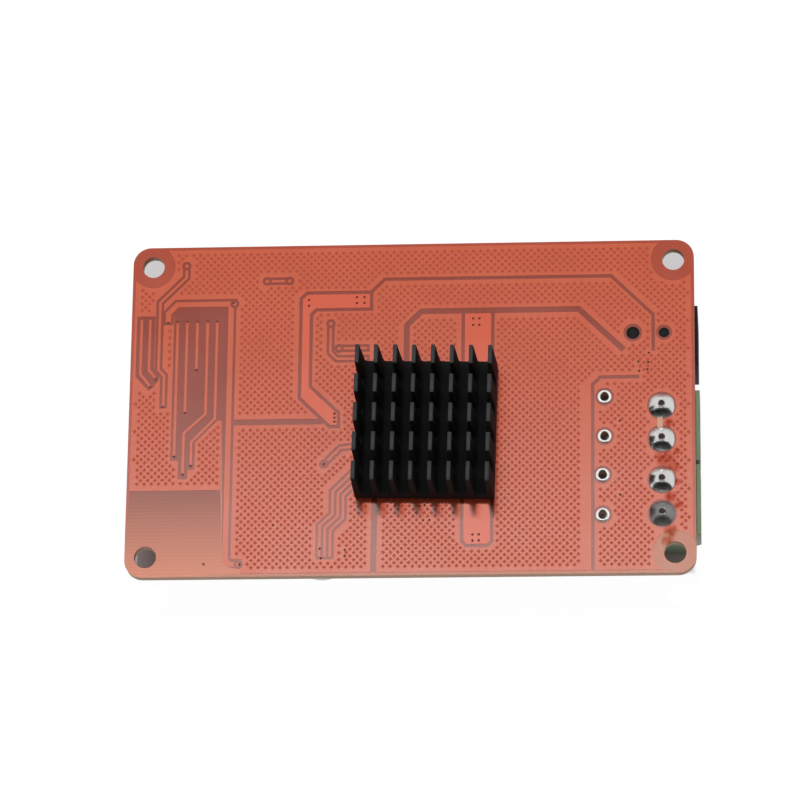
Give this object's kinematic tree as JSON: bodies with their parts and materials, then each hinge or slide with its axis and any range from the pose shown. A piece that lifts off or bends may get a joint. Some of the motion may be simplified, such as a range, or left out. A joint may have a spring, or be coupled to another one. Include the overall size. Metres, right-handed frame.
{
  "type": "audio amplifier board",
  "caption": "Small audio amplifier board lying solder side up, with a black pin-fin heatsink, screw terminals, a power socket and plated wire holes at one end.",
  "frame": {"origin": "middle of the four fixing holes, on the solder face", "axes": "+X along the board towards the sockets, +Y across the board, +Z out of the solder face, along the fixing holes; the board lies on its tall components"},
  "size_m": [0.0827, 0.05, 0.0229],
  "materials": {
    "solder_mask": "gloss",
    "tin": "satin",
    "black_anodised": "satin",
    "thermal_pad": "matte",
    "green_nylon": "satin",
    "tinned_brass": "satin",
    "zinc_steel": "satin",
    "solder": "gloss",
    "black_nylon": "satin",
    "spring_steel": "satin",
    "can_aluminium": "satin",
    "black_phenolic": "matte",
    "ferrite": "matte",
    "chip_epoxy": "matte",
    "masked_copper": "gloss",
    "clear_resin": "gloss",
    "capacitor_ceramic": "satin",
    "resistor_glaze": "gloss"
  },
  "bodies": {
    "board": {"amplifier_chip": "chip_epoxy", "amplifier_leads": "tin", "bonding_pad": "thermal_pad", "capacitor_base_1": "black_phenolic", "capacitor_base_2": "black_phenolic", "capacitor_base_3": "black_phenolic", "capacitor_can_1": "can_aluminium", "capacitor_can_2": "can_aluminium", "capacitor_can_3": "can_aluminium", "capacitor_leads_1": "tinned_brass", "capacitor_leads_2": "tinned_brass", "capacitor_leads_3": "tinned_brass", "choke_clips_1": "tinned_brass", "choke_clips_2": "tinned_brass", "choke_clips_3": "tinned_brass", "choke_clips_4": "tinned_brass", "choke_core_1": "ferrite", "choke_core_2": "ferrite", "choke_core_3": "ferrite", "choke_core_4": "ferrite", "choke_shield_1": "ferrite", "choke_shield_2": "ferrite", "choke_shield_3": "ferrite", "choke_shield_4": "ferrite", "circuit_board": "solder_mask", "crystal_can": "zinc_steel", "heatsink": "black_anodised", "indicator_lamp": "clear_resin", "memory_chip": "chip_epoxy", "memory_leads": "tin", "printed_aerial": "masked_copper", "radio_chip": "chip_epoxy", "regulator_body": "chip_epoxy", "regulator_leads": "tin", "small_capacitors": "capacitor_ceramic", "small_resistors": "resistor_glaze", "socket_centre_pin": "tinned_brass", "socket_housing": "black_nylon", "socket_spring": "spring_steel", "socket_tabs": "tinned_brass", "solder_joint_1": "solder", "solder_joint_2": "solder", "solder_joint_3": "solder", "solder_joint_4": "solder", "terminal_contact_1": "tinned_brass", "terminal_contact_2": "tinned_brass", "terminal_contact_3": "tinned_brass", "terminal_contact_4": "tinned_brass", "terminal_housing_1": "green_nylon", "terminal_housing_2": "green_nylon", "wire_hole_plating": "tin"},
    "screw_1": {"terminal_screw_1": "zinc_steel"},
    "cage_1": {"terminal_cage_1": "zinc_steel"},
    "screw_2": {"terminal_screw_2": "zinc_steel"},
    "cage_2": {"terminal_cage_2": "zinc_steel"},
    "screw_3": {"terminal_screw_3": "zinc_steel"},
    "cage_3": {"terminal_cage_3": "zinc_steel"},
    "screw_4": {"terminal_screw_4": "zinc_steel"},
    "cage_4": {"terminal_cage_4": "zinc_steel"}
  },
  "joints": [
    {"name": "screw_1_turn", "type": "hinge", "parent": "board", "child": "screw_1", "pos_m": [0.0385, -0.00019, -0.0084], "axis": [0, 0, 1], "range_deg": [0, 1442]},
    {"name": "cage_1_rise", "type": "slide", "parent": "board", "child": "cage_1", "axis": [0, 0, -1], "range_m": [0, 0.002]},
    {"name": "screw_2_turn", "type": "hinge", "parent": "board", "child": "screw_2", "pos_m": [0.0385, -0.00519, -0.0084], "axis": [0, 0, 1], "range_deg": [0, 1442]},
    {"name": "cage_2_rise", "type": "slide", "parent": "board", "child": "cage_2", "axis": [0, 0, -1], "range_m": [0, 0.002]},
    {"name": "screw_3_turn", "type": "hinge", "parent": "board", "child": "screw_3", "pos_m": [0.0385, -0.01128, -0.0084], "axis": [0, 0, 1], "range_deg": [0, 1442]},
    {"name": "cage_3_rise", "type": "slide", "parent": "board", "child": "cage_3", "axis": [0, 0, -1], "range_m": [0, 0.002]},
    {"name": "screw_4_turn", "type": "hinge", "parent": "board", "child": "screw_4", "pos_m": [0.0385, -0.01628, -0.0084], "axis": [0, 0, 1], "range_deg": [0, 1442]},
    {"name": "cage_4_rise", "type": "slide", "parent": "board", "child": "cage_4", "axis": [0, 0, -1], "range_m": [0, 0.002]}
  ],
  "couplings": [
    {"joint": "screw_1_turn", "follows": "cage_1_rise", "rad_per_m": 12566},
    {"joint": "screw_2_turn", "follows": "cage_2_rise", "rad_per_m": 12566},
    {"joint": "screw_3_turn", "follows": "cage_3_rise", "rad_per_m": 12566},
    {"joint": "screw_4_turn", "follows": "cage_4_rise", "rad_per_m": 12566}
  ]
}
